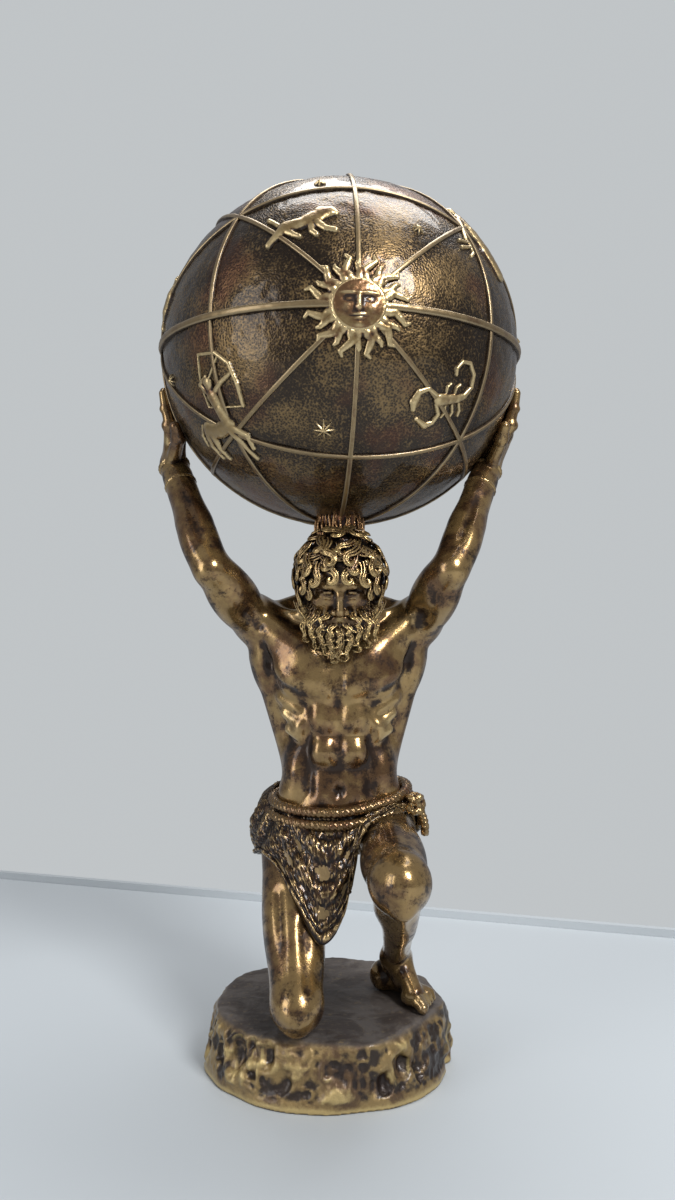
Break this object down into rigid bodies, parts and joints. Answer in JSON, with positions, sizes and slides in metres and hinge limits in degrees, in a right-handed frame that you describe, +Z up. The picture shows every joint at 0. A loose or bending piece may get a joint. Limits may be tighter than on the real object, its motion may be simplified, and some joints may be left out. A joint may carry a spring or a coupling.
{
  "type": "atlas globe statuette",
  "caption": "Cast statuette of a kneeling bearded titan who carries a celestial globe with raised bands, a sun and zodiac figures, on a rough rock base",
  "frame": {"origin": "middle of the flat underside of the rock, on the surface that it stands on", "axes": "+Z up, the figure faces -Y, his left hand is at +X"},
  "size_m": [0.152, 0.1512, 0.3591],
  "materials": {
    "figure_gold": "cast resin with antique gold paint, dark wash in the hollows, glossy varnish",
    "globe_bronze": "cast resin with dark bronze paint and rubbed gold, glossy varnish",
    "band_bronze": "cast resin, rubbed bronze-gold paint",
    "relief_gold": "cast resin, rubbed gold paint",
    "rock_bronze": "cast resin, matt grey-brown on top and rubbed gold on the edges",
    "cloth_bronze": "cast resin, dark wash with rubbed gold folds",
    "rope_gold": "cast resin, rubbed gold paint"
  },
  "bodies": {
    "root": {"archer_relief": "relief_gold", "beard": "figure_gold", "bull_relief": "relief_gold", "crab_relief": "relief_gold", "equator_band": "band_bronze", "fishes_relief": "relief_gold", "globe_lower_shell": "globe_bronze", "globe_stub": "figure_gold", "globe_upper_shell": "globe_bronze", "hair": "figure_gold", "head": "figure_gold", "hips": "figure_gold", "kneeling_foot": "figure_gold", "kneeling_shin": "figure_gold", "kneeling_thigh": "figure_gold", "left_cuff": "figure_gold", "left_forearm": "figure_gold", "left_hand": "figure_gold", "left_upper_arm": "figure_gold", "lion_relief": "relief_gold", "loincloth": "cloth_bronze", "lower_bands": "band_bronze", "maiden_relief": "relief_gold", "neck": "figure_gold", "planted_foot": "figure_gold", "planted_shin": "figure_gold", "planted_thigh": "figure_gold", "right_cuff": "figure_gold", "right_forearm": "figure_gold", "right_hand": "figure_gold", "right_upper_arm": "figure_gold", "rock_base": "rock_bronze", "rope_knot": "rope_gold", "rope_lower_turn": "rope_gold", "rope_upper_turn": "rope_gold", "scales_relief": "relief_gold", "scorpion_relief": "relief_gold", "star_reliefs": "relief_gold", "sun_face": "relief_gold", "sun_rays": "relief_gold", "torso": "figure_gold", "upper_bands": "band_bronze"}
  },
  "joints": []
}
